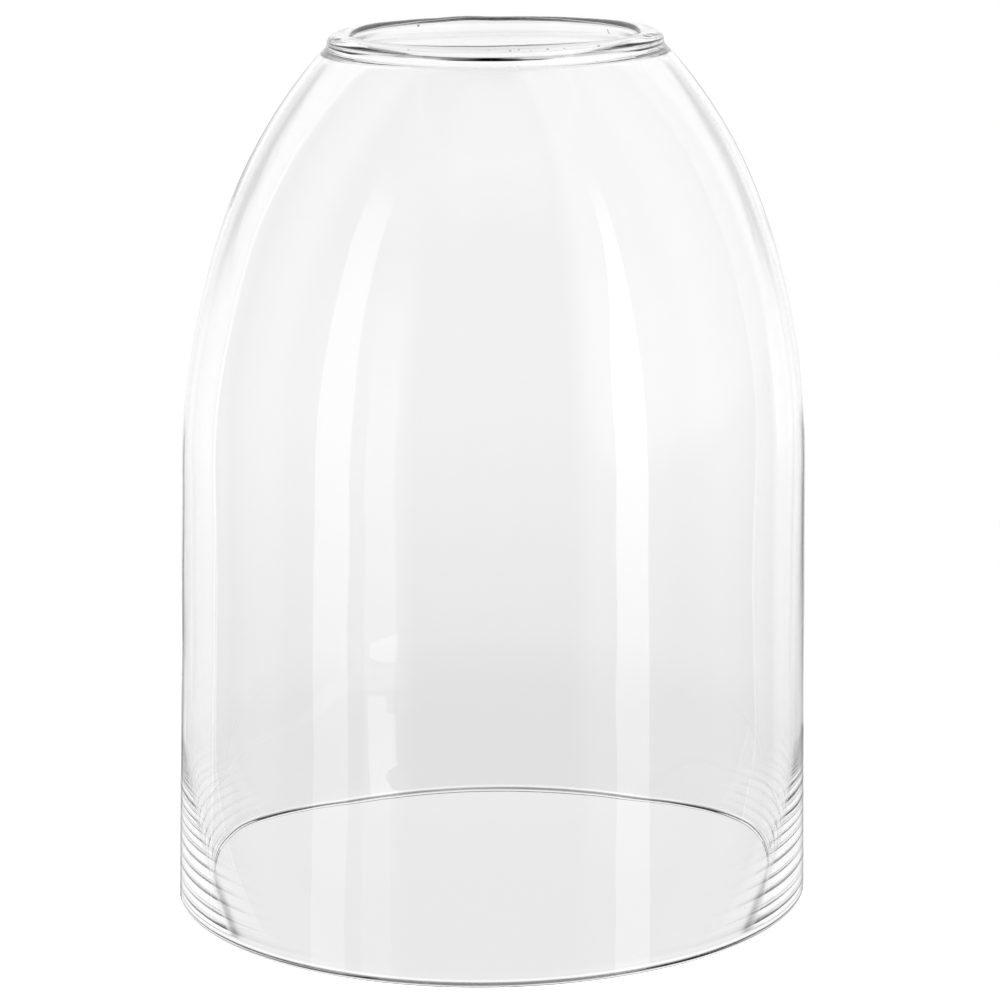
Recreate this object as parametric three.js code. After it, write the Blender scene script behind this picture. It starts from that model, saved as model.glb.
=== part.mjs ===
// An open-topped garden cloche of clear blown glass, in millimetres, +Z up.
// The origin is the centre of the circle that the foot stands on.
//
// The glass was worked in two gathers. The first was blown into the bell: a skirt that tapers
// slightly, thickens towards its foot and draws in over two arcs to an open neck. The second was
// trailed round the neck as a rounded lip. Both are bodies of revolution about Z.
import * as THREE from 'three';

// Driving dimensions
const FOOT_RADIUS = 111.5;        // outside, where the foot meets the ground
const SKIRT_TAPER = 0.018;        // loss of radius per millimetre of height
const WALL = 1.8;                 // thickness of the blown wall
const FOOT_EXTRA = 5.7;           // how much thicker the wall is where it meets the ground
const FOOT_EXTRA_HEIGHT = 62;     // height where the extra thickness has faded out
const SHOULDER_START = 156;       // height where the skirt begins to draw in
const SHOULDER_ARC = 266;         // radius of the long lower arc of the dome
const CROWN_START = 242.5;        // height where the tighter upper arc takes over
const CROWN_ARC = 166;            // radius of the upper arc of the dome
const LIP_CENTRE_RADIUS = 53.3;   // from the axis to the middle of the lip's section
const LIP_CENTRE_HEIGHT = 301.3;
const LIP_HALF_WIDTH = 4.2;       // the lip's section is an oval, wider than it is high
const LIP_HALF_HEIGHT = 2.8;
const SEAM_GAP = 0.3;             // between the bell's top edge and the lip

// Resolution
const SEGMENTS = 72;              // round the axis
const FOOT_STEPS = 6;
const SHOULDER_STEPS = 6;
const CROWN_STEPS = 7;
const SEAM_STEPS = 4;
const LIP_STEPS = 20;

const CROWN_ANGLE = Math.asin((CROWN_START - SHOULDER_START) / SHOULDER_ARC);

/** How far an arc of the given radius has drawn in, at an angle from its widest point. */
const drawIn = (radius, angle) => radius * (1 - Math.cos(angle));

/** Outside of the bell at a turn of its surface: 0 at the shoulder, growing towards the neck. */
function domePoint(angle) {
  const onCrown = angle > CROWN_ANGLE;
  const arc = onCrown ? CROWN_ARC : SHOULDER_ARC;
  const from = onCrown ? CROWN_ANGLE : 0;
  const base = onCrown ? CROWN_START : SHOULDER_START;
  const z = base + arc * (Math.sin(angle) - Math.sin(from));
  const before = onCrown ? drawIn(SHOULDER_ARC, CROWN_ANGLE) : 0;
  const drawn = before + drawIn(arc, angle) - drawIn(arc, from);
  return new THREE.Vector2(FOOT_RADIUS - SKIRT_TAPER * z - drawn, z);
}

/** The same place on the bell's inside, one wall thickness along the surface's normal. */
function insidePoint(angle) {
  const slope = Math.tan(angle) + SKIRT_TAPER;
  const normal = new THREE.Vector2(1, slope).normalize();
  return domePoint(angle).addScaledVector(normal, -WALL);
}

/** Where a point lies against the lip's section grown by the seam gap: below 1 is inside it. */
function seamMeasure(point) {
  const across = (point.x - LIP_CENTRE_RADIUS) / (LIP_HALF_WIDTH + SEAM_GAP);
  const up = (point.y - LIP_CENTRE_HEIGHT) / (LIP_HALF_HEIGHT + SEAM_GAP);
  return Math.hypot(across, up);
}

/** The turn at which one side of the wall arrives at the seam, found by halving. */
function seamAngle(sidePoint) {
  let low = CROWN_ANGLE;
  let high = Math.PI / 4;
  for (let halving = 0; halving < 40; halving += 1) {
    const middle = (low + high) / 2;
    if (seamMeasure(sidePoint(middle)) > 1) low = middle;
    else high = middle;
  }
  return low;
}

/** Steps of one side of the wall, from the shoulder to the seam. */
function wallSide(sidePoint) {
  const end = seamAngle(sidePoint);
  const points = [];
  for (let step = 0; step < SHOULDER_STEPS; step += 1) {
    points.push(sidePoint((CROWN_ANGLE * step) / SHOULDER_STEPS));
  }
  for (let step = 0; step <= CROWN_STEPS; step += 1) {
    points.push(sidePoint(CROWN_ANGLE + ((end - CROWN_ANGLE) * step) / CROWN_STEPS));
  }
  return points;
}

/** The hollow top edge of the wall, which follows the lip from its outer to its inner side. */
function seamEdge(outerEnd, innerEnd) {
  const turnOf = (point) => Math.atan2(
    (point.y - LIP_CENTRE_HEIGHT) / (LIP_HALF_HEIGHT + SEAM_GAP),
    (point.x - LIP_CENTRE_RADIUS) / (LIP_HALF_WIDTH + SEAM_GAP),
  );
  const start = turnOf(outerEnd);
  const sweep = turnOf(innerEnd) - start;
  const points = [];
  for (let step = 1; step < SEAM_STEPS; step += 1) {
    const turn = start + (sweep * step) / SEAM_STEPS;
    points.push(new THREE.Vector2(
      LIP_CENTRE_RADIUS + (LIP_HALF_WIDTH + SEAM_GAP) * Math.cos(turn),
      LIP_CENTRE_HEIGHT + (LIP_HALF_HEIGHT + SEAM_GAP) * Math.sin(turn),
    ));
  }
  return points;
}

/** Inside of the thickened foot, from where the extra thickness has faded out to the ground. */
function footInside() {
  const points = [];
  for (let step = FOOT_STEPS; step >= 0; step -= 1) {
    const z = (FOOT_EXTRA_HEIGHT * step) / FOOT_STEPS;
    const extra = FOOT_EXTRA * (1 - z / FOOT_EXTRA_HEIGHT) ** 2;
    points.push(new THREE.Vector2(FOOT_RADIUS - SKIRT_TAPER * z - WALL - extra, z));
  }
  return points;
}

/** Closed section of the bell: up the outside, over the seam, down the inside to the foot. */
function bellSection() {
  const outside = wallSide(domePoint);
  const inside = wallSide(insidePoint).reverse();
  const seam = seamEdge(outside[outside.length - 1], inside[0]);
  const footOutside = new THREE.Vector2(FOOT_RADIUS, 0);
  return [footOutside, ...outside, ...seam, ...inside, ...footInside(), footOutside.clone()];
}

/** Closed oval section of the lip. */
function lipSection() {
  const points = [];
  for (let step = 0; step < LIP_STEPS; step += 1) {
    const turn = (2 * Math.PI * step) / LIP_STEPS;
    points.push(new THREE.Vector2(
      LIP_CENTRE_RADIUS + LIP_HALF_WIDTH * Math.cos(turn),
      LIP_CENTRE_HEIGHT + LIP_HALF_HEIGHT * Math.sin(turn),
    ));
  }
  points.push(points[0].clone());
  return points;
}

/** A ring of glass with the given section, standing on +Z. */
function glassRing(name, section) {
  const geometry = new THREE.LatheGeometry(section, SEGMENTS);
  geometry.rotateX(Math.PI / 2);
  const material = new THREE.MeshStandardMaterial({
    color: 0xeaf0ee, roughness: 0.03, metalness: 0, transparent: true, opacity: 0.35,
  });
  const ring = new THREE.Mesh(geometry, material);
  ring.name = name;
  return ring;
}

const cloche = new THREE.Group();
cloche.add(glassRing('blown_bell', bellSection()));
cloche.add(glassRing('lip_bead', lipSection()));

export default cloche;
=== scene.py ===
import math

import bpy
from mathutils import Matrix, Vector, noise


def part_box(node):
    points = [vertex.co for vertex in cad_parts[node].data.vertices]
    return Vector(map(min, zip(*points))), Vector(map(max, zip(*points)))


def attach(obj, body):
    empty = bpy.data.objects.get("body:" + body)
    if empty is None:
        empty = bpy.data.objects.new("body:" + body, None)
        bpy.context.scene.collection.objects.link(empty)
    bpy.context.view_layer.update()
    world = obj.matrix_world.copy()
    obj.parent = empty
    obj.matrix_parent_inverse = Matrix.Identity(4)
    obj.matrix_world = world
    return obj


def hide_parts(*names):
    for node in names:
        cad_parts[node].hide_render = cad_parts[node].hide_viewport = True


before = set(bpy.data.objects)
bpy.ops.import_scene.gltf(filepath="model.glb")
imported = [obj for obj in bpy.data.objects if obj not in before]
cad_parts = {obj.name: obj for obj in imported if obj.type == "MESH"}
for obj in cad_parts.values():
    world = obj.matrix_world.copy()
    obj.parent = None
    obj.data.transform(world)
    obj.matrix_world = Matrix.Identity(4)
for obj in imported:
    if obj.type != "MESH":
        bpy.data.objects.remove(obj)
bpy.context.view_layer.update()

MM = 0.001

# The upper corners of the imported model's pieces
BELL_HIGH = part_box("blown_bell")[1]
LIP_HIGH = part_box("lip_bead")[1]

# Outline of the bell: a tapered skirt and two arcs
FOOT_RADIUS = BELL_HIGH.x
SKIRT_TAPER = 0.018
SHOULDER_START = 156 * MM
SHOULDER_ARC = 266 * MM
CROWN_START = 242.5 * MM
CROWN_ARC = 166 * MM
CROWN_ANGLE = math.asin((CROWN_START - SHOULDER_START) / SHOULDER_ARC)

# The lip's oval section, whose outer end hangs lower, as the crown slopes
LIP_LONG = 4.25 * MM
LIP_SHORT = 2.75 * MM
LIP_TILT = math.radians(10)
LIP_OUTWARD = Vector((math.cos(LIP_TILT), -math.sin(LIP_TILT)))
LIP_UPWARD = Vector((math.sin(LIP_TILT), math.cos(LIP_TILT)))
LIP_HALF_WIDTH = math.hypot(LIP_LONG * LIP_OUTWARD.x, LIP_SHORT * LIP_UPWARD.x)
LIP_HALF_HEIGHT = math.hypot(LIP_LONG * LIP_OUTWARD.y, LIP_SHORT * LIP_UPWARD.y)
LIP_RADIUS = LIP_HIGH.x - LIP_HALF_WIDTH
LIP_HEIGHT = LIP_HIGH.z - LIP_HALF_HEIGHT
# Turns on the oval where it leaves the wall's outside and where it comes back to its inside
LIP_FIRST_TURN = math.atan2(LIP_SHORT * LIP_UPWARD.x, LIP_LONG * LIP_OUTWARD.x)
LIP_LAST_TURN = math.radians(235)
# How far under the oval's middle the wall starts to run into it, outside and inside
NOTCH_DROP = 3.4 * MM
HOLLOW_DROP = 5.5 * MM

# The wall is thinnest a little over half way up, and thickens in a curve towards the foot
WALL_THICK = 1.8 * MM
WALL_THINNING = 0.65 * MM
THINNEST_HEIGHT = 170 * MM
THINNING_REACH = 70 * MM
FOOT_THICKENING = 5.7 * MM
FOOT_THICKENING_HEIGHT = 62 * MM
FOOT_ROUND = 1.9 * MM
# Painted shade in the glass at the foot's underside, for the dark line where the foot meets the
# table; it fades out a little way up the foot's edges
FOOT_SHADE_LOW = 0.55 * MM
FOOT_SHADE_HIGH = 0.95 * MM
PAINTED_FOOT_SHADE = 0.12

# Resolution
TURNS = 320
FOOT_STEP = 1.5 * MM
FOOT_ZONE = 60 * MM
SKIRT_STEP = 4 * MM
DOME_STEPS = 38
LIP_STEPS = 28
BLEND_STEPS = 9
FOOT_ROUND_STEPS = 7
SEED_RINGS = 6
SEED_SPOKES = 8
DISC_SIDES = 96
# Where the skirt's even steps start above the rounded foot, and how far the dome may turn in
SKIRT_START = 0.6 * MM
DOME_TURN = math.radians(45)
# How strongly the wall's direction carries into the curve that joins it to the lip
BLEND_PULL = 0.40

# How far the hand-made bell leans and strays from round
LEAN = 0.0150
OVALITY = 0.35 * MM
FOOT_BULGE = 0.9 * MM
FOOT_BULGE_SIDE = math.radians(-155)
FOOT_BULGE_HEIGHT = 110 * MM
# Lumps of the wall's stray from round: a broad one drawn upright, and a finer and weaker one
BROAD_STRAY_SIZE = 90 * MM
FINE_STRAY_SIZE = 34 * MM
FINE_STRAY_SHARE = 0.35
STRAY_UPRIGHT = 0.6
# Ripples fade in from the ground up to this height, so that they don't lift the foot
FOOT_CALM = 3 * MM

# Ripples of the two skins, as (height, size of a lump). The first two are drawn upright and the
# one near the foot is drawn level, each by the share below
BROAD_RIPPLE = (0.035 * MM, 32 * MM)
FINE_RIPPLE = (0.008 * MM, 11 * MM)
FOOT_RIPPLE = (0.014 * MM, 9 * MM)
RIPPLE_UPRIGHT = 0.35
RIPPLE_LEVEL = 0.4
FOOT_RIPPLE_LOW = 20 * MM
FOOT_RIPPLE_HIGH = 75 * MM

# How far below the lip's middle its own unevenness starts, in half heights, and its two parts,
# as (height, size of a lump on a circle of radius 1)
LIP_REACH = 2.2
LIP_SWELL = (0.22 * MM, 0.5)
LIP_WOBBLE = (0.10 * MM, 0.16)

# The lap at the back of the lip: where it is, how high and how wide as an angle
LAP_ANGLE = math.radians(101)
LAP_HEIGHT = 0.35 * MM
LAP_WIDTH = 0.14
# A seed bubble's width as a share of its length
SEED_WIDTH_SHARE = 0.55

# The glass: its colour seen face on, the painted shade that darkens it seen edge on, and where in
# between the shade sets in
FACE_TINT = 0.997
EDGE_ON_PAINTED_SHADE = 0.45
EDGE_SHADE_START = 0.80
EDGE_SHADE_FULL = 0.95
GLASS_IOR = 1.52
# The skin's finest unevenness
PEEL_SCALE = 60
PEEL_STRENGTH = 0.02
PEEL_DEPTH = 0.2 * MM

# The table, whose edge fades out between two shares of its radius
FLOOR_RADIUS = 0.55
FLOOR_FADE_START = 0.55
FLOOR_FADE_END = 0.98
FLOOR_DROP = 0.1 * MM
FLOOR_COLOUR = (0.93, 0.93, 0.93, 1)


# ---------------------------------------------------------------- outline

def dome_point(turn):
    """Outside of the dome, as (radius, height), where its surface has turned in by an angle."""
    on_crown = turn > CROWN_ANGLE
    arc = CROWN_ARC if on_crown else SHOULDER_ARC
    start = CROWN_ANGLE if on_crown else 0.0
    base = CROWN_START if on_crown else SHOULDER_START
    height = base + arc * (math.sin(turn) - math.sin(start))
    drawn = arc * (math.cos(start) - math.cos(turn))
    if on_crown:
        drawn += SHOULDER_ARC * (1 - math.cos(CROWN_ANGLE))
    return Vector((FOOT_RADIUS - SKIRT_TAPER * height - drawn, height))


def wall_thickness(height):
    """How thick the wall is at a height."""
    away = (height - THINNEST_HEIGHT) / THINNING_REACH
    near_foot = (1 - min(max(height / FOOT_THICKENING_HEIGHT, 0), 1)) ** 2
    thinned = WALL_THICK - WALL_THINNING * math.exp(-away * away)
    return thinned + FOOT_THICKENING * near_foot


def inside_of(point, slope):
    """The point one wall thickness in from an outside point, where the wall leans by a slope."""
    normal = Vector((1, slope)).normalized()
    return point - normal * wall_thickness(point.y)


def skirt_heights():
    """Heights of the skirt's rings, closest together near the foot."""
    heights = []
    height = FOOT_ROUND + SKIRT_START
    while height < SHOULDER_START:
        heights.append(height)
        height += FOOT_STEP if height < FOOT_ZONE else SKIRT_STEP
    return heights


def lip_point(turn):
    """A point round the lip's oval, from its outer end."""
    middle = Vector((LIP_RADIUS, LIP_HEIGHT))
    return (middle + LIP_OUTWARD * LIP_LONG * math.cos(turn)
            + LIP_UPWARD * LIP_SHORT * math.sin(turn))


def lip_heading(turn):
    """Which way the lip's oval runs at a point, as it turns up and over."""
    return (LIP_UPWARD * LIP_SHORT * math.cos(turn)
            - LIP_OUTWARD * LIP_LONG * math.sin(turn)).normalized()


def wall_side(inner):
    """One side of the wall from the foot to where it runs into the lip."""
    top = LIP_HEIGHT - (HOLLOW_DROP if inner else NOTCH_DROP)
    side = []
    for height in skirt_heights():
        point = Vector((FOOT_RADIUS - SKIRT_TAPER * height, height))
        side.append(inside_of(point, SKIRT_TAPER) if inner else point)
    step = DOME_TURN / DOME_STEPS
    for index in range(DOME_STEPS * 2):
        turn = index * step
        point = dome_point(turn)
        if inner:
            point = inside_of(point, math.tan(turn) + SKIRT_TAPER)
        if point.y > top:
            break
        side.append(point)
    return side


def blend(start, start_heading, end, end_heading):
    """Points of a smooth curve between two points, without its ends."""
    pull = (end - start).length * BLEND_PULL
    first = start + start_heading * pull
    last = end - end_heading * pull
    points = []
    for index in range(1, BLEND_STEPS):
        share = index / BLEND_STEPS
        rest = 1 - share
        points.append(start * rest ** 3 + first * (3 * share * rest ** 2)
                      + last * (3 * share ** 2 * rest) + end * share ** 3)
    return points


def lip_run(outside, inside):
    """From the outer side of the wall over the lip to the inner side."""
    climb = (outside[-1] - outside[-2]).normalized()
    descent = (inside[1] - inside[0]).normalized()
    run = blend(outside[-1], climb, lip_point(LIP_FIRST_TURN), lip_heading(LIP_FIRST_TURN))
    for index in range(LIP_STEPS + 1):
        share = index / LIP_STEPS
        run.append(lip_point(LIP_FIRST_TURN + (LIP_LAST_TURN - LIP_FIRST_TURN) * share))
    run += blend(lip_point(LIP_LAST_TURN), lip_heading(LIP_LAST_TURN), inside[0], descent)
    return run


def foot_edge():
    """Across the foot from the inside to the outside, with both edges rounded."""
    inner = FOOT_RADIUS - wall_thickness(FOOT_ROUND)
    turns = [math.radians(90) * index / FOOT_ROUND_STEPS for index in range(FOOT_ROUND_STEPS + 1)]
    points = [Vector((inner + FOOT_ROUND * (1 - math.cos(turn)),
                      FOOT_ROUND * (1 - math.sin(turn)))) for turn in turns]
    points += [Vector((FOOT_RADIUS - FOOT_ROUND * (1 - math.sin(turn)),
                       FOOT_ROUND * (1 - math.cos(turn)))) for turn in turns]
    return points


def glass_section():
    """The closed section: up the outside, over the lip, down the inside, across the foot.

    Each entry is (radius, height, side), where side is +1 outside, -1 inside and 0 elsewhere.
    """
    outside = wall_side(inner=False)
    inside = wall_side(inner=True)[::-1]
    lip = lip_run(outside, inside)
    run = outside + lip + inside
    foot = foot_edge()
    sides = [1] * len(outside) + [0] * len(lip) + [-1] * len(inside) + [0] * len(foot)
    return [(p.x, p.y, side) for p, side in zip(run + foot, sides)]


# ---------------------------------------------------------------- hand-made surface

def soft_noise(point, size, seed):
    """Smooth noise from -1 to 1 whose lumps are about as large as size."""
    return noise.noise(point / size + Vector((seed * 7.3, seed * 3.1, seed * 5.7)))


def fade(value, low, high):
    """0 below low, 1 above high, smooth between them."""
    share = min(max((value - low) / (high - low), 0.0), 1.0)
    return share * share * (3 - 2 * share)


def out_of_round(point):
    """How far the whole wall strays from a true circle, in or out."""
    stretched = Vector((point.x, point.y, point.z * STRAY_UPRIGHT))
    stray = OVALITY * (soft_noise(stretched, BROAD_STRAY_SIZE, 1)
                       + FINE_STRAY_SHARE * soft_noise(point, FINE_STRAY_SIZE, 2))
    towards = math.cos(math.atan2(point.y, point.x) - FOOT_BULGE_SIDE)
    near_foot = 1 - fade(point.z, 0, FOOT_BULGE_HEIGHT)
    return stray + FOOT_BULGE * near_foot * max(towards, 0) ** 2


def skin_ripple(point, side):
    """Fine unevenness of one skin of the wall, along its normal."""
    upright = Vector((point.x, point.y, point.z * RIPPLE_UPRIGHT))
    level = Vector((point.x * RIPPLE_LEVEL, point.y * RIPPLE_LEVEL, point.z))
    ripple = BROAD_RIPPLE[0] * soft_noise(upright, BROAD_RIPPLE[1], 3 + side)
    ripple += FINE_RIPPLE[0] * soft_noise(upright, FINE_RIPPLE[1], 6 + side)
    near_foot = 1 - fade(point.z, FOOT_RIPPLE_LOW, FOOT_RIPPLE_HIGH)
    ripple += FOOT_RIPPLE[0] * near_foot * soft_noise(level, FOOT_RIPPLE[1], 9 + side)
    return ripple


def lip_unevenness(angle):
    """The lip swells and sinks a little on its way round, with one small lap."""
    around = Vector((math.cos(angle), math.sin(angle), 0))
    swell = LIP_SWELL[0] * soft_noise(around, LIP_SWELL[1], 12)
    swell += LIP_WOBBLE[0] * soft_noise(around, LIP_WOBBLE[1], 13)
    away = math.atan2(math.sin(angle - LAP_ANGLE), math.cos(angle - LAP_ANGLE))
    return swell + LAP_HEIGHT * math.exp(-(away / LAP_WIDTH) ** 2)


def section_normals(section):
    """The outward direction at each entry of the section."""
    normals = []
    count = len(section)
    for index in range(count):
        before, after = section[index - 1], section[(index + 1) % count]
        along = Vector((after[0] - before[0], after[1] - before[1])).normalized()
        normals.append(Vector((along.y, -along.x)))
    return normals


def surface_point(entry, normal, angle):
    """Where a point of the section lies once it is turned to an angle and made by hand."""
    radius, height, side = entry
    cos_a, sin_a = math.cos(angle), math.sin(angle)
    true = Vector((radius * cos_a, radius * sin_a, height))
    stray = out_of_round(true)
    push = skin_ripple(true, side) if side else 0.0
    in_lip = fade(height, LIP_HEIGHT - LIP_REACH * LIP_HALF_HEIGHT, LIP_HEIGHT)
    push += in_lip * lip_unevenness(angle)
    off_foot = fade(height, 0, FOOT_CALM)
    radius += stray + push * normal.x * off_foot
    height += push * normal.y * off_foot
    return Vector((radius * cos_a + LEAN * height, radius * sin_a, height))


def glass_skin():
    """Vertices and faces of the closed skin."""
    section = glass_section()
    normals = section_normals(section)
    count = len(section)
    vertices = []
    for turn in range(TURNS):
        angle = 2 * math.pi * turn / TURNS
        for entry, normal in zip(section, normals):
            vertices.append(surface_point(entry, normal, angle))
    faces = []
    for turn in range(TURNS):
        here, there = turn * count, (turn + 1) % TURNS * count
        for index in range(count):
            following = (index + 1) % count
            faces.append((here + index, there + index, there + following, here + following))
    return vertices, faces


# ---------------------------------------------------------------- seed bubbles

def seed_bubble(centre, along, length, width, vertices, faces):
    """A small pocket of air: a long ball whose faces look inward, into the air."""
    rings, spokes = SEED_RINGS, SEED_SPOKES
    along = along.normalized()
    across = along.cross(Vector((0.31, 0.17, 0.93))).normalized()
    upward = along.cross(across)
    first = len(vertices)
    vertices.append(centre + along * length / 2)
    for ring in range(1, rings):
        tilt = math.pi * ring / rings
        for spoke in range(spokes):
            turn = 2 * math.pi * spoke / spokes
            reach = math.sin(tilt) * width / 2
            vertices.append(centre + along * math.cos(tilt) * length / 2
                            + across * math.cos(turn) * reach + upward * math.sin(turn) * reach)
    vertices.append(centre - along * length / 2)
    last = len(vertices) - 1
    for spoke in range(spokes):
        beside = (spoke + 1) % spokes
        faces.append((first, first + 1 + beside, first + 1 + spoke))
        for ring in range(rings - 2):
            top = first + 1 + ring * spokes
            low = top + spokes
            faces.append((top + spoke, top + beside, low + beside, low + spoke))
        end = last - spokes
        faces.append((last, end + spoke, end + beside))


def lip_seeds():
    """(angle in degrees from +X, radius share, height share, length in mm) of seeds in the lip."""
    return [(-121, 0.35, 0.45, 0.7), (-92, 0.3, 0.42, 0.5), (-85, 0.36, 0.4, 0.9),
            (-82, 0.3, 0.42, 0.8), (-78, 0.42, 0.38, 0.5), (-72, 0.34, 0.4, 0.9),
            (-66, 0.38, 0.42, 0.6), (-52, 0.3, 0.35, 1.1), (122, -0.3, 0.1, 1.0),
            (40, 0.2, 0.2, 0.7), (165, 0.3, 0.3, 0.8), (215, 0.25, 0.35, 0.7)]


def add_seeds(vertices, faces):
    """Adds the lip's seed bubbles to the skin's vertices and faces."""
    for degrees, across, up, length in lip_seeds():
        angle = math.radians(degrees)
        outward = Vector((math.cos(angle), math.sin(angle), 0))
        place = (Vector((LIP_RADIUS, LIP_HEIGHT)) + LIP_OUTWARD * LIP_LONG * across
                 + LIP_UPWARD * LIP_SHORT * up)
        centre = outward * place.x
        centre.z = place.y
        centre.x += LEAN * centre.z
        along = Vector((-math.sin(angle), math.cos(angle), 0))
        seed_bubble(centre, along, length * MM, SEED_WIDTH_SHARE * length * MM, vertices, faces)


# ---------------------------------------------------------------- materials

def faded_value(tree, value, low, high, at_low, at_high):
    """One value at or below low and another at or above high, smooth between them."""
    node = tree.nodes.new("ShaderNodeMapRange")
    node.interpolation_type = "SMOOTHSTEP"
    node.inputs["From Min"].default_value = low
    node.inputs["From Max"].default_value = high
    node.inputs["To Min"].default_value = at_low
    node.inputs["To Max"].default_value = at_high
    tree.links.new(value, node.inputs["Value"])
    return node.outputs["Result"]


def ramp(tree, value, low, high):
    """0 where the value is below low, 1 above high, smooth between them."""
    return faded_value(tree, value, low, high, 0.0, 1.0)


def combined(tree, first, second, operation):
    """A sum, product or other operation on two values, each a number or a node's output."""
    node = tree.nodes.new("ShaderNodeMath")
    node.operation = operation
    for socket, value in zip(node.inputs, (first, second)):
        if isinstance(value, (int, float)):
            socket.default_value = value
        else:
            tree.links.new(value, socket)
    return node.outputs[0]


def glass_colour_and_painted_shade(tree, place):
    """Clear, with painted shade that darkens the wall where it is seen edge on and in a ring under
    the foot.
    """
    # Painted shade: the base colour darkens where the wall is seen edge on
    facing = tree.nodes.new("ShaderNodeLayerWeight")
    facing.inputs["Blend"].default_value = 0.5
    edge = faded_value(tree, facing.outputs["Facing"], EDGE_SHADE_START, EDGE_SHADE_FULL, FACE_TINT, EDGE_ON_PAINTED_SHADE)
    # Painted shade: a dark ring at the foot's underside, where the foot meets the table
    split = tree.nodes.new("ShaderNodeSeparateXYZ")
    tree.links.new(place.outputs["Object"], split.inputs[0])
    foot_shade = faded_value(tree, split.outputs["Z"], FOOT_SHADE_LOW, FOOT_SHADE_HIGH,
                         PAINTED_FOOT_SHADE, 1.0)
    return combined(tree, edge, foot_shade, "MULTIPLY")


def clear_glass():
    """Clear, colourless glass with a faintly uneven skin, and painted shade where it is seen edge
    on and under the foot.
    """
    material = bpy.data.materials.new("clear_glass")
    material.use_nodes = True
    nodes, links = material.node_tree.nodes, material.node_tree.links
    shader = nodes["Principled BSDF"]
    shader.inputs["Roughness"].default_value = 0.0
    shader.inputs["IOR"].default_value = GLASS_IOR
    shader.inputs["Transmission Weight"].default_value = 1.0
    place = nodes.new("ShaderNodeTexCoord")
    links.new(glass_colour_and_painted_shade(material.node_tree, place), shader.inputs["Base Color"])
    peel = nodes.new("ShaderNodeTexNoise")
    peel.inputs["Scale"].default_value = PEEL_SCALE
    peel.inputs["Detail"].default_value = 1
    bump = nodes.new("ShaderNodeBump")
    bump.inputs["Strength"].default_value = PEEL_STRENGTH
    bump.inputs["Distance"].default_value = PEEL_DEPTH
    links.new(place.outputs["Object"], peel.inputs["Vector"])
    links.new(peel.outputs["Fac"], bump.inputs["Height"])
    links.new(bump.outputs["Normal"], shader.inputs["Normal"])
    return material


def pale_floor():
    """A matt pale table that fades into the white of the studio."""
    material = bpy.data.materials.new("pale_floor")
    material.use_nodes = True
    nodes, links = material.node_tree.nodes, material.node_tree.links
    shader = nodes["Principled BSDF"]
    shader.inputs["Base Color"].default_value = FLOOR_COLOUR
    shader.inputs["Roughness"].default_value = 0.9
    shader.inputs["Specular IOR Level"].default_value = 0.0
    place = nodes.new("ShaderNodeTexCoord")
    length = nodes.new("ShaderNodeVectorMath")
    length.operation = "LENGTH"
    edge = ramp(material.node_tree, length.outputs["Value"],
                FLOOR_RADIUS * FLOOR_FADE_START, FLOOR_RADIUS * FLOOR_FADE_END)
    clear = nodes.new("ShaderNodeBsdfTransparent")
    mix = nodes.new("ShaderNodeMixShader")
    links.new(place.outputs["Object"], length.inputs[0])
    links.new(edge, mix.inputs["Fac"])
    links.new(shader.outputs["BSDF"], mix.inputs[1])
    links.new(clear.outputs["BSDF"], mix.inputs[2])
    links.new(mix.outputs["Shader"], nodes["Material Output"].inputs["Surface"])
    return material


# ---------------------------------------------------------------- pieces

def make_object(name, vertices, faces, material):
    """A smooth-shaded mesh object in the scene."""
    mesh = bpy.data.meshes.new(name)
    mesh.from_pydata([tuple(v) for v in vertices], [], faces)
    mesh.materials.append(material)
    mesh.polygons.foreach_set("use_smooth", [True] * len(mesh.polygons))
    mesh.update()
    piece = bpy.data.objects.new(name, mesh)
    bpy.context.scene.collection.objects.link(piece)
    return piece


def blown_glass():
    """The finished vessel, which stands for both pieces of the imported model."""
    vertices, faces = glass_skin()
    add_seeds(vertices, faces)
    piece = make_object("blown_glass", vertices, faces, clear_glass())
    piece.visible_shadow = False
    piece.visible_diffuse = False
    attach(piece, "root")
    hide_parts("blown_bell", "lip_bead")
    return piece


def floor():
    """The table, a hair below the foot."""
    ring = []
    for side in range(DISC_SIDES):
        angle = 2 * math.pi * side / DISC_SIDES
        ring.append(Vector((FLOOR_RADIUS * math.cos(angle),
                            FLOOR_RADIUS * math.sin(angle), -FLOOR_DROP)))
    table = make_object("pale_table", ring, [tuple(range(DISC_SIDES))], pale_floor())
    table.visible_transmission = False
    table.visible_glossy = False


# ---------------------------------------------------------------- studio

def sine(degrees):
    """Sine of an angle in degrees."""
    return math.sin(math.radians(degrees))


def cosine(degrees):
    """Cosine of an angle in degrees."""
    return math.cos(math.radians(degrees))


def band(tree, height, low, high, blur):
    """1 between two elevations."""
    above = ramp(tree, height, sine(low - blur), sine(low + blur))
    below = ramp(tree, height, sine(high + blur), sine(high - blur))
    return combined(tree, above, below, "MULTIPLY")


def bearing(tree, level, azimuth):
    """Cosine of the angle on the level from an azimuth: 0 is the front, -Y, and 90 is +X."""
    node = tree.nodes.new("ShaderNodeVectorMath")
    node.operation = "DOT_PRODUCT"
    tree.links.new(level, node.inputs[0])
    node.inputs[1].default_value = (sine(azimuth), -cosine(azimuth), 0)
    return node.outputs["Value"]


def panel(tree, level, height, azimuth, half, low, high, blur):
    """1 inside a soft-edged panel of the studio's wall."""
    off = bearing(tree, level, azimuth)
    sideways = ramp(tree, off, cosine(half + blur), cosine(max(half - blur, 0)))
    return combined(tree, sideways, band(tree, height, low, high, blur), "MULTIPLY")


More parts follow.
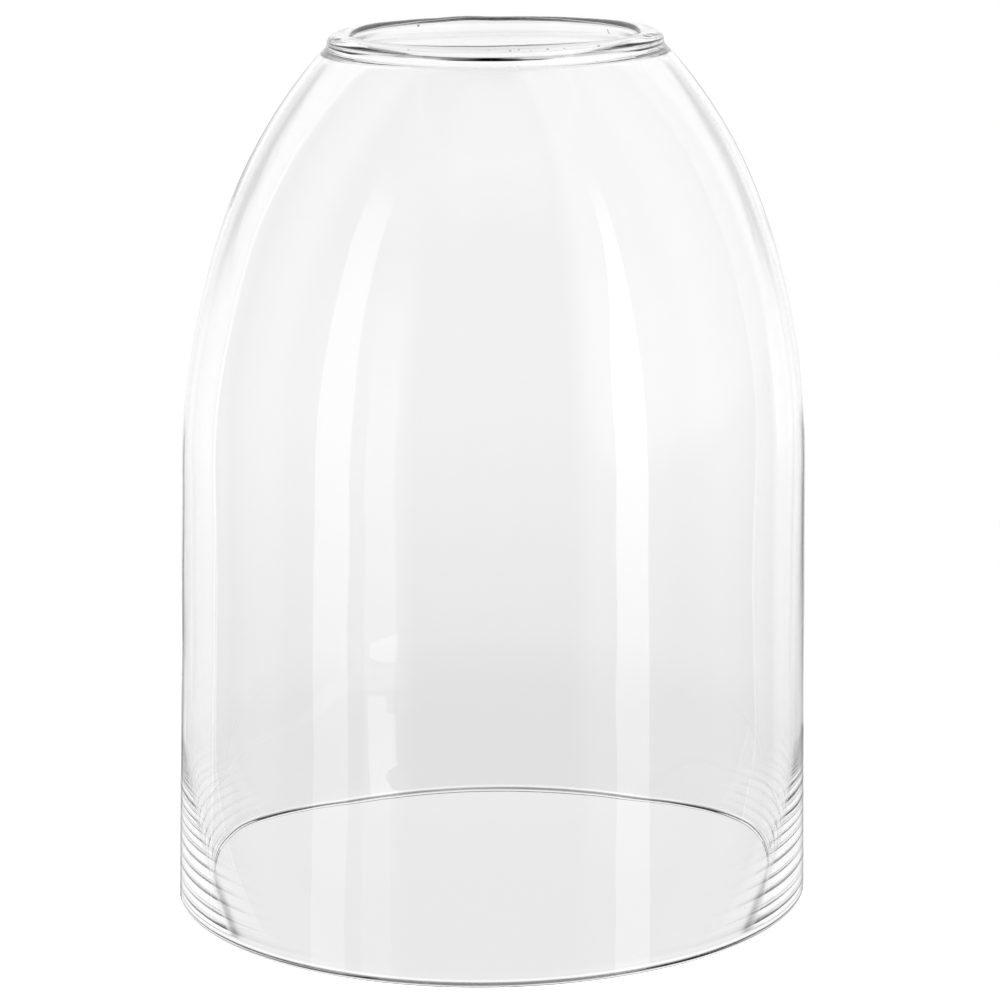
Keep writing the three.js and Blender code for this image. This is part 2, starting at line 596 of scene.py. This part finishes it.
def studio_world():
    """Soft-edged panels that the glass shows, and plain white where the camera looks past it."""
    world = bpy.data.worlds.new("studio")
    bpy.context.scene.world = world
    world.use_nodes = True
    tree = world.node_tree
    nodes, links = tree.nodes, tree.links
    nodes.clear()
    place = nodes.new("ShaderNodeTexCoord")
    split = nodes.new("ShaderNodeSeparateXYZ")
    links.new(place.outputs["Generated"], split.inputs[0])
    height = split.outputs["Z"]
    flat = nodes.new("ShaderNodeVectorMath")
    flat.operation = "MULTIPLY"
    flat.inputs[1].default_value = (1, 1, 0)
    links.new(place.outputs["Generated"], flat.inputs[0])
    level = nodes.new("ShaderNodeVectorMath")
    level.operation = "NORMALIZE"
    links.new(flat.outputs["Vector"], level.inputs[0])
    level = level.outputs["Vector"]

    total = None
    for azimuth, half, low, high, blur, strength in STUDIO_PANELS:
        share = panel(tree, level, height, azimuth, half, low, high, blur)
        lit = combined(tree, share, strength, "MULTIPLY")
        total = lit if total is None else combined(tree, total, lit, "MAXIMUM")
    nearer = ramp(tree, height, sine(TABLE_FALL_START), sine(TABLE_FALL_END))
    shade = combined(tree, 1.0, combined(tree, nearer, TABLE_FALL, "MULTIPLY"), "SUBTRACT")
    total = combined(tree, total, shade, "MULTIPLY")

    seen = nodes.new("ShaderNodeLightPath")
    mix = nodes.new("ShaderNodeMix")
    mix.data_type = "FLOAT"
    links.new(seen.outputs["Is Camera Ray"], mix.inputs["Factor"])
    links.new(total, mix.inputs["A"])
    mix.inputs["B"].default_value = 1.0
    background = nodes.new("ShaderNodeBackground")
    background.inputs["Color"].default_value = (1, 1, 1, 1)
    links.new(mix.outputs["Result"], background.inputs["Strength"])
    output = nodes.new("ShaderNodeOutputWorld")
    links.new(background.outputs["Background"], output.inputs["Surface"])


# Azimuth, half width, lowest and highest elevation and blur in degrees, and brightness
STUDIO_PANELS = [
    (180, 52, -1, 65, 2, 1.047),        # backdrop, white above the glass
    (180, 52, -11, 1, 2, 0.50),         # darker to either side of it
    (180, 7.5, -11, 1, 1.0, 1.047),     # white behind it
    (147.5, 22, -11, 1, 1.5, 1.047),    # and white again beyond
    (-147.5, 22, -11, 1, 1.5, 1.047),
    (180, 16, -36, -6, 2.5, 1.047),     # the table under it, white in the middle
    (180, 36, -36, -6, 3, 0.43),        # and dimmer at its sides
    (142, 18, -75, 45, 8, 0.96),        # walls behind, to the right and the left
    (-142, 19, -75, 45, 2.5, 1.00),
    (-122.5, 0.6, -60, 45, 0.5, 1.45),  # a bright edge between two walls
    (112, 28, -70, 80, 14, 0.52),       # dimmer walls at the sides
    (-112, 28, -70, 80, 14, 0.52),
    (68, 34, -30, 30, 5, 0.32),         # dim walls towards the camera
    (-68, 34, -30, 30, 5, 0.25),
    (85, 50, -6, 85, 8, 0.74),          # high light from the right
    (-85, 50, 25, 85, 12, 0.30),        # and weaker from the left
    (0, 40, 45, 85, 15, 0.50),          # and from the front
]
# How much dimmer the table looks close by, and the elevations between which that sets in
TABLE_FALL = 0.145
TABLE_FALL_START = -10
TABLE_FALL_END = -19.5

# Where the cards' light is full and where it is dimmed, in metres above the table
CARD_FULL = 0.03
CARD_DIM = -0.12
CARD_DIM_SHARE = 0.62
# Where a tapering card starts to narrow and where it is narrowest
CARD_TAPER_LOW = 0.22
CARD_TAPER_HIGH = 0.62
# How far below its top a card starts to fade, and how soft its sides are
CARD_TOP_FADE = 0.62
CARD_SOFT_SIDE = 0.006
CARD_MARGIN = 0.01
CARD_DISTANCE = 0.70
CARD_LOW = -0.60


def card_material(name, width, high, brightness, lean):
    """A glowing card with soft edges, dim below the table's edge, that may narrow to its top."""
    material = bpy.data.materials.new(name)
    material.use_nodes = True
    tree = material.node_tree
    tree.nodes.clear()
    place = tree.nodes.new("ShaderNodeTexCoord")
    split = tree.nodes.new("ShaderNodeSeparateXYZ")
    tree.links.new(place.outputs["Object"], split.inputs[0])
    raised = ramp(tree, split.outputs["Z"], CARD_TAPER_LOW, CARD_TAPER_HIGH)
    middle = combined(tree, raised, lean, "MULTIPLY")
    off = combined(tree, combined(tree, split.outputs["X"], middle, "SUBTRACT"), 0.0, "ABSOLUTE")
    across = combined(tree, off, combined(tree, raised, abs(lean), "MULTIPLY"), "ADD")
    sides = ramp(tree, across, width / 2 + CARD_SOFT_SIDE, width / 2 - CARD_SOFT_SIDE)
    top = ramp(tree, split.outputs["Z"], high, high - CARD_TOP_FADE)
    shown = combined(tree, sides, top, "MULTIPLY")
    lit = ramp(tree, split.outputs["Z"], CARD_DIM, CARD_FULL)
    lit = combined(tree, lit, 1 - CARD_DIM_SHARE, "MULTIPLY")
    lit = combined(tree, lit, CARD_DIM_SHARE, "ADD")
    glow = tree.nodes.new("ShaderNodeEmission")
    strength = combined(tree, shown, lit, "MULTIPLY")
    strength = combined(tree, strength, brightness, "MULTIPLY")
    tree.links.new(strength, glow.inputs["Strength"])
    clear = tree.nodes.new("ShaderNodeBsdfTransparent")
    both = tree.nodes.new("ShaderNodeMixShader")
    output = tree.nodes.new("ShaderNodeOutputMaterial")
    tree.links.new(shown, both.inputs["Fac"])
    tree.links.new(clear.outputs["BSDF"], both.inputs[1])
    tree.links.new(glow.outputs["Emission"], both.inputs[2])
    tree.links.new(both.outputs["Shader"], output.inputs["Surface"])
    return material


def card(name, azimuth, width, high, brightness, lean=0.0):
    """An upright glowing card that shows only as a reflection in the glass."""
    half = width / 2 + CARD_MARGIN
    corners = [(-half, 0, CARD_LOW), (half, 0, CARD_LOW), (half, 0, high), (-half, 0, high)]
    material = card_material(name, width, high, brightness, lean)
    piece = make_object(name, corners, [(0, 1, 2, 3)], material)
    piece.location = (CARD_DISTANCE * sine(azimuth), -CARD_DISTANCE * cosine(azimuth), 0)
    piece.rotation_euler = (0, 0, math.radians(azimuth))
    piece.visible_camera = False
    piece.visible_transmission = False
    piece.visible_diffuse = False
    piece.visible_shadow = False


# The light over the table: size and height in metres, power in watts
LAMP_SIZE = 3.0
LAMP_HEIGHT = 2.5
LAMP_POWER = 95


def overhead():
    """A wide soft light over the table, which only the table sees."""
    light = bpy.data.lights.new("overhead", "AREA")
    light.shape = "DISK"
    light.size = LAMP_SIZE
    light.energy = LAMP_POWER
    lamp = bpy.data.objects.new("overhead", light)
    lamp.location = (0, 0, LAMP_HEIGHT)
    lamp.visible_camera = False
    lamp.visible_transmission = False
    lamp.visible_glossy = False
    bpy.context.scene.collection.objects.link(lamp)


def studio_lights():
    """Three glowing cards and the light over the table."""
    card("left_card", -56, 0.168, 1.13, 1.90)
    card("right_card", 47, 0.150, 1.13, 2.60, lean=0.036)
    card("narrow_card", -38.4, 0.132, 0.75, 1.02)
    overhead()


# The camera, in metres, degrees and millimetres of lens
CAMERA_DISTANCE = 1.2517
CAMERA_HEIGHT = 0.4225
CAMERA_PITCH = 12.72
CAMERA_LENS = 131.7
CAMERA_ASIDE = 0.0043
CAMERA_ROLL = 0.7


def camera():
    """A long lens in front of the glass, a little above it and looking slightly down."""
    data = bpy.data.cameras.new("camera")
    data.lens = CAMERA_LENS
    data.sensor_width = 36
    view = bpy.data.objects.new("camera", data)
    view.location = (CAMERA_ASIDE, -CAMERA_DISTANCE, CAMERA_HEIGHT)
    pitch = Matrix.Rotation(math.radians(90 - CAMERA_PITCH), 4, "X")
    roll = Matrix.Rotation(math.radians(-CAMERA_ROLL), 4, "Z")
    view.rotation_euler = (pitch @ roll).to_euler()
    bpy.context.scene.collection.objects.link(view)
    bpy.context.scene.camera = view


def render_settings():
    """Plain colours, and enough bounces for light inside the thick foot and lip."""
    scene = bpy.context.scene
    scene.view_settings.view_transform = "Standard"
    scene.cycles.max_bounces = 40
    scene.cycles.transmission_bounces = 40
    scene.cycles.glossy_bounces = 24
    scene.cycles.transparent_max_bounces = 16


camera()
render_settings()
studio_world()
studio_lights()
floor()
blown_glass()
